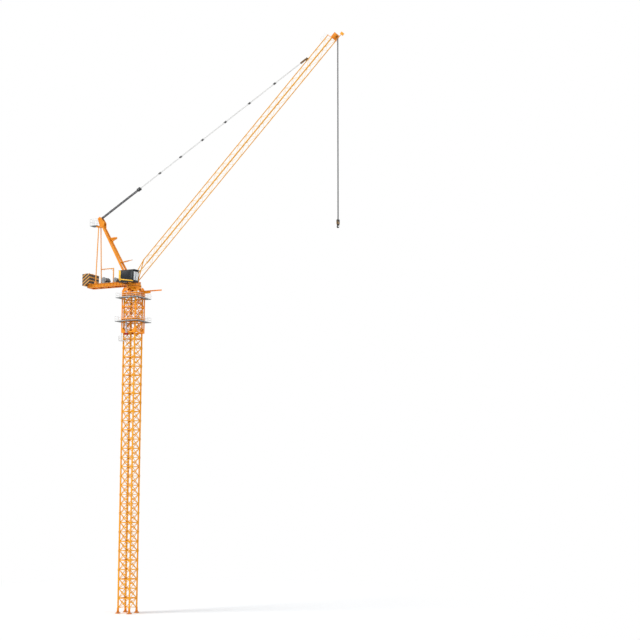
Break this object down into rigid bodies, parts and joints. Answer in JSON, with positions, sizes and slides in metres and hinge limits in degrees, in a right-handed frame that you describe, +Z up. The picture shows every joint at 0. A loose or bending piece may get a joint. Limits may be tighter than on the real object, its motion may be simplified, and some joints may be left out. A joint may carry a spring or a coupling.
{
  "type": "luffing tower crane scale model",
  "caption": "Scale model of a luffing-jib tower crane: lattice mast with climbing cage, slewing deck with cab, winches, counterweight and A-frame, jib on pendants, hoist rope and hook",
  "frame": {"origin": "on the mast axis, in the plane of the undersides of the four feet", "axes": "+X out along the jib at rest, +Y to the side away from the cab, +Z up"},
  "size_m": [4.7272, 0.4885, 9.1766],
  "materials": {
    "orange_paint": "satin orange paint over steel",
    "grey_paint": "matt grey paint on chequered plate",
    "rail_paint": "light grey paint on tube",
    "red_paint": "gloss red paint",
    "cab_yellow": "gloss yellow paint",
    "cab_dark": "matt dark paint",
    "cab_glass": "tinted glazing",
    "striped_paint": "yellow and black warning stripes",
    "drum_steel": "bare machined steel",
    "dark_steel": "satin dark paint",
    "rope_steel": "greased wire rope",
    "pendant_paint": "pale grey paint on bars",
    "amber_plastic": "amber plastic"
  },
  "bodies": {
    "mast": {"mast_feet": "orange_paint", "mast_legs": "orange_paint", "mast_side_jib": "orange_paint", "mast_side_far": "orange_paint", "mast_side_tail": "orange_paint", "mast_side_near": "orange_paint", "cage_posts": "orange_paint", "cage_side_jib": "orange_paint", "cage_side_far": "orange_paint", "cage_side_tail": "orange_paint", "cage_side_near": "orange_paint", "cage_platforms": "grey_paint", "cage_railings": "rail_paint", "climbing_cylinder": "drum_steel", "climbing_yoke": "red_paint", "feed_beam": "orange_paint", "slew_support": "orange_paint", "slew_ring_fixed": "orange_paint"},
    "upperworks": {"slew_ring_turning": "orange_paint", "turntable": "orange_paint", "deck_beams": "orange_paint", "deck_floor": "grey_paint", "counterweights": "striped_paint", "a_frame_front_legs": "orange_paint", "a_frame_head": "orange_paint", "a_frame_rear_ties": "orange_paint", "backstops": "orange_paint", "head_platform": "grey_paint", "head_platform_rails": "rail_paint", "head_sheaves": "drum_steel", "winch_frames": "grey_paint", "winch_drums": "drum_steel", "winch_motors": "dark_steel", "service_frame": "orange_paint", "cab_bracket": "orange_paint", "cab_body": "cab_yellow", "cab_roof": "cab_dark", "cab_side_panels": "cab_dark", "cab_windscreen": "cab_glass", "jib_foot_brackets": "orange_paint", "luffing_rope": "rope_steel"},
    "jib": {"jib_foot": "orange_paint", "jib_chords": "orange_paint", "jib_lacing_near": "orange_paint", "jib_lacing_far": "orange_paint", "jib_lacing_bottom": "orange_paint", "jib_head": "orange_paint", "tip_sheaves": "drum_steel", "tip_lamp": "amber_plastic", "luffing_block": "dark_steel", "pendants": "pendant_paint", "pendant_links": "dark_steel", "pendant_anchor": "dark_steel"},
    "hoist_line": {"rope_guide": "orange_paint", "hoist_rope": "rope_steel"},
    "hook_block": {"hook_block": "dark_steel"},
    "hook": {"hook": "dark_steel"}
  },
  "joints": [
    {"name": "slew", "type": "hinge", "parent": "mast", "child": "upperworks", "pos_m": [0, 0, 5.3], "axis": [0, 0, 1], "continuous": true},
    {"name": "jib_luff", "type": "hinge", "parent": "upperworks", "child": "jib", "pos_m": [0.034, 0, 5.4204], "axis": [0, -1, 0], "range_deg": [-30, 30], "deforming": ["luffing_rope"]},
    {"name": "hook_plumb", "type": "hinge", "parent": "jib", "child": "hoist_line", "pos_m": [3.69681, 0, 9.08321], "axis": [0, -1, 0], "range_deg": [-30, 30]},
    {"name": "hook_hoist", "type": "slide", "parent": "hoist_line", "child": "hook_block", "axis": [0, 0, 1], "range_m": [0, 2.7], "deforming": ["hoist_rope"]},
    {"name": "hook_swivel", "type": "hinge", "parent": "hook_block", "child": "hook", "pos_m": [3.72281, 0, 6.0477], "axis": [0, 0, 1], "continuous": true}
  ],
  "couplings": [
    {"joint": "hook_plumb", "follows": "jib_luff", "ratio": -1}
  ]
}
